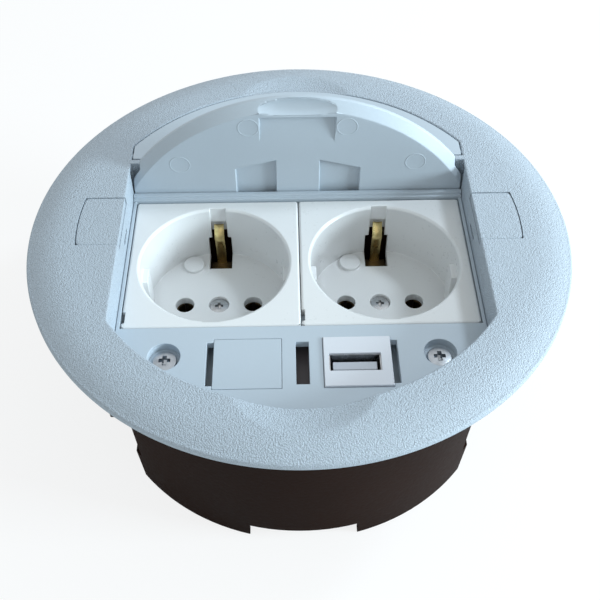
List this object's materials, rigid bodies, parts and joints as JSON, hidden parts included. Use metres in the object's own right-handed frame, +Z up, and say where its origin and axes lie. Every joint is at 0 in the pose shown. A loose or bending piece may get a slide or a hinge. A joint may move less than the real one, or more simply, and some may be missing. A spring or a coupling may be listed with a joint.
{
  "type": "recessed desk socket block",
  "caption": "Round block set in a desk top: earthed sockets and a charging port in a sunken well, under a lid that stands up in its slot, with a hinged cable flap and clamp claws.",
  "frame": {"origin": "on the ring's axis, in the plane of the cup's lower rim", "axes": "+Z up along the ring's axis, +X to the right of someone sitting at the desk, +Y away from them"},
  "size_m": [0.14, 0.14, 0.0852],
  "materials": {
    "light_housing": "fine moulded grain, satin",
    "white_plastic": "smooth white, slightly glossy",
    "base_plastic": "plain moulded",
    "dark_plastic": "dark brown, satin",
    "claw_plastic": "black, plain",
    "soft_black": "soft, matt",
    "plated_steel": "zinc plated",
    "brass": "stamped, plain",
    "circuit_board": "green lacquer",
    "wire_brown": "insulated wire",
    "wire_blue": "insulated wire",
    "wire_green": "insulated wire"
  },
  "bodies": {
    "block": {"trim_ring": "light_housing", "insert_panel": "light_housing", "blank_insert": "light_housing", "usb_insert": "white_plastic", "usb_shell": "plated_steel", "usb_tongue": "white_plastic", "usb_contacts": "brass", "usb_board": "circuit_board", "cup": "dark_plastic", "cable_grommet": "soft_black", "lid_pocket": "dark_plastic", "pocket_screws": "plated_steel", "left_port_cover": "light_housing", "left_socket_housing": "white_plastic", "left_socket_base": "base_plastic", "left_line_contact": "brass", "left_neutral_contact": "brass", "left_earth_bracket": "brass", "left_centre_screw": "plated_steel", "left_terminal_screws": "plated_steel", "right_port_cover": "light_housing", "right_socket_housing": "white_plastic", "right_socket_base": "base_plastic", "right_line_contact": "brass", "right_neutral_contact": "brass", "right_earth_bracket": "brass", "right_centre_screw": "plated_steel", "right_terminal_screws": "plated_steel", "line_wire": "wire_brown", "neutral_wire": "wire_blue", "earth_wire": "wire_green"},
    "lid_body": {"lid": "light_housing"},
    "flap_body": {"rear_flap": "light_housing"},
    "left_screw_body": {"left_clamp_screw": "plated_steel"},
    "left_nut_body": {"left_clamp_nut": "plated_steel"},
    "left_claw_body": {"left_clamp_claw": "claw_plastic"},
    "right_screw_body": {"right_clamp_screw": "plated_steel"},
    "right_nut_body": {"right_clamp_nut": "plated_steel"},
    "right_claw_body": {"right_clamp_claw": "claw_plastic"}
  },
  "joints": [
    {"name": "lid_slide", "type": "slide", "parent": "block", "child": "lid_body", "axis": [0, 0, 1], "range_m": [0, 0.0528]},
    {"name": "flap_hinge", "type": "hinge", "parent": "block", "child": "flap_body", "pos_m": [0, 0.0279, 0.0613], "axis": [1, 0, 0], "range_deg": [0, 88]},
    {"name": "left_clamp_turn", "type": "hinge", "parent": "block", "child": "left_screw_body", "pos_m": [-0.0334, -0.0357, 0.0508], "axis": [0, 0, 1], "range_deg": [-6686.2, 3600.5]},
    {"name": "left_nut_travel", "type": "slide", "parent": "block", "child": "left_nut_body", "axis": [0, 0, 1], "range_m": [-0.013, 0.007]},
    {"name": "left_claw_swing", "type": "hinge", "parent": "left_nut_body", "child": "left_claw_body", "pos_m": [-0.0334, -0.0357, 0.0334], "axis": [0, 0, 1], "range_deg": [-45, 0]},
    {"name": "right_clamp_turn", "type": "hinge", "parent": "block", "child": "right_screw_body", "pos_m": [0.0334, -0.0357, 0.0508], "axis": [0, 0, 1], "range_deg": [-6686.2, 3600.5]},
    {"name": "right_nut_travel", "type": "slide", "parent": "block", "child": "right_nut_body", "axis": [0, 0, 1], "range_m": [-0.013, 0.007]},
    {"name": "right_claw_swing", "type": "hinge", "parent": "right_nut_body", "child": "right_claw_body", "pos_m": [0.0334, -0.0357, 0.0334], "axis": [0, 0, 1], "range_deg": [-45, 0]}
  ],
  "couplings": [
    {"joint": "left_clamp_turn", "follows": "left_nut_travel", "rad_per_m": 8976},
    {"joint": "right_clamp_turn", "follows": "right_nut_travel", "rad_per_m": 8976}
  ]
}
